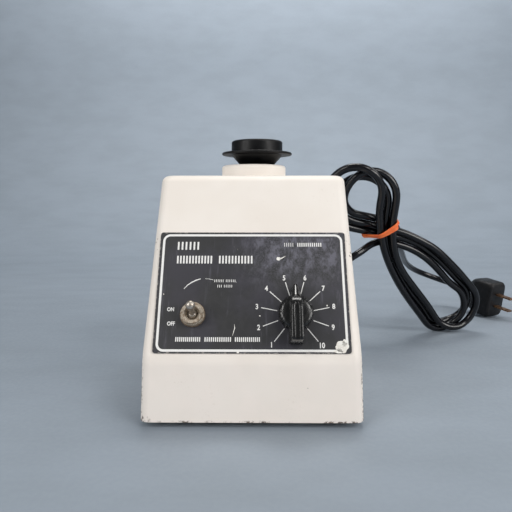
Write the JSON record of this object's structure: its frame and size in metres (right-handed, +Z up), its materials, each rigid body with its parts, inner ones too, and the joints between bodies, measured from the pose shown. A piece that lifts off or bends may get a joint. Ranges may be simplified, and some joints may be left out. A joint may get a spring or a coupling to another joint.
{
  "type": "vortex mixer",
  "caption": "Bench vortex mixer: cast wedge housing with a sloping control panel, a sprung motor that swings a black rubber cup, and a mains lead tied in a hank.",
  "frame": {"origin": "on the table under the middle of the machine, feet at Z 0, measured without the mains lead", "axes": "+Z up, the control panel faces -Y, +X to the right of a user who faces the panel"},
  "size_m": [0.3304, 0.3391, 0.1667],
  "materials": {
    "cream_paint": "semi-gloss, fine orange peel, chipped at the edges",
    "black_painted_steel": "satin",
    "label_face": "semi-matt printed plate, scuffed",
    "black_rubber": "smooth moulded rubber with a soft sheen",
    "nickel_plate": "bright nickel, slightly dulled",
    "aged_washer": "dull, tarnished",
    "brown_phenolic": "matt moulding",
    "brass_terminal": "tarnished",
    "zinc_plated_steel": "plated",
    "spring_steel": "drawn wire",
    "bearing_steel": "ground",
    "core_steel": "laminated",
    "cast_aluminium": "as cast",
    "copper_wire": "enamelled copper",
    "black_plastic": "moulded, semi-gloss",
    "nylon": "natural nylon",
    "red_plastic": "moulded",
    "green_board": "solder-masked board",
    "yellow_film_case": "dipped case",
    "lead_insulation": "soft insulation",
    "cord_jacket": "glossy flexible jacket",
    "orange_tie": "soft band"
  },
  "bodies": {
    "housing": {"housing_shell": "cream_paint", "bottom_plate": "black_painted_steel", "feet": "black_rubber", "bottom_screws": "zinc_plated_steel", "label_plate": "label_face", "toggle_body": "brown_phenolic", "toggle_bushing": "nickel_plate", "toggle_washer": "aged_washer", "toggle_nut": "nickel_plate", "toggle_terminals": "brass_terminal", "speed_control_body": "black_plastic", "speed_control_bushing": "nickel_plate", "speed_control_nut": "zinc_plated_steel", "guide_posts": "zinc_plated_steel", "post_nuts": "zinc_plated_steel", "press_springs": "spring_steel", "touch_switch": "black_plastic", "switch_bracket": "zinc_plated_steel", "small_screws": "zinc_plated_steel", "control_board": "green_board", "board_standoffs": "brass_terminal", "run_capacitor": "yellow_film_case", "triac_heatsink": "cast_aluminium", "choke_coil": "copper_wire", "terminal_block": "green_board", "internal_leads": "lead_insulation", "dust_seal": "black_rubber", "strain_relief": "black_rubber", "cord_start": "cord_jacket", "cord_hank": "cord_jacket", "cord_tie": "orange_tie", "cord_lead": "cord_jacket", "plug_body": "cord_jacket", "plug_blades": "brass_terminal"},
    "motor_carriage": {"motor_bracket": "zinc_plated_steel", "post_bushes": "nylon", "lower_bell": "cast_aluminium", "upper_bell": "cast_aluminium", "stator_core": "core_steel", "stator_windings": "copper_wire", "motor_bolts": "zinc_plated_steel", "motor_nuts": "zinc_plated_steel", "lower_bearing": "bearing_steel", "upper_bearing": "bearing_steel"},
    "rotor": {"motor_shaft": "bearing_steel", "rotor_core": "core_steel", "rotor_end_rings": "cast_aluminium", "cooling_fan": "black_plastic", "eccentric_hub": "cast_aluminium", "hub_set_screw": "zinc_plated_steel", "crank_pin": "bearing_steel", "pin_clip": "zinc_plated_steel"},
    "cup": {"cup_bearing": "bearing_steel", "cup_insert": "cast_aluminium", "mixing_cup": "black_rubber"},
    "touch_plunger": {"switch_plunger": "red_plastic"},
    "toggle": {"toggle_lever": "nickel_plate"},
    "knob": {"speed_knob": "black_plastic", "speed_control_shaft": "zinc_plated_steel", "knob_set_screw": "zinc_plated_steel"}
  },
  "joints": [
    {"name": "cup_press", "type": "slide", "parent": "housing", "child": "motor_carriage", "axis": [0, 0, 1], "range_m": [-0.002, 0], "stiffness_N_per_m": 6000, "springref_m": 0.005, "deforming": ["press_springs"]},
    {"name": "rotor_spin", "type": "hinge", "parent": "motor_carriage", "child": "rotor", "pos_m": [0, 0.01946, 0.08], "axis": [0, 0, 1], "continuous": true},
    {"name": "cup_orbit", "type": "hinge", "parent": "rotor", "child": "cup", "pos_m": [0.0022, 0.01946, 0.15], "axis": [0, 0, 1], "continuous": true},
    {"name": "plunger_travel", "type": "slide", "parent": "housing", "child": "touch_plunger", "axis": [0, 0, 1], "range_m": [-0.002, 0]},
    {"name": "toggle_throw", "type": "hinge", "parent": "housing", "child": "toggle", "pos_m": [-0.0334, -0.06249, 0.06191], "axis": [1, 0, 0], "range_deg": [0, 24]},
    {"name": "knob_turn", "type": "hinge", "parent": "housing", "child": "knob", "pos_m": [0.0244, -0.06142, 0.06181], "axis": [0, -0.891, 0.454], "range_deg": [-142, 142]}
  ],
  "couplings": [
    {"joint": "cup_orbit", "follows": "rotor_spin", "ratio": -1},
    {"joint": "plunger_travel", "follows": "cup_press", "ratio": 1}
  ]
}
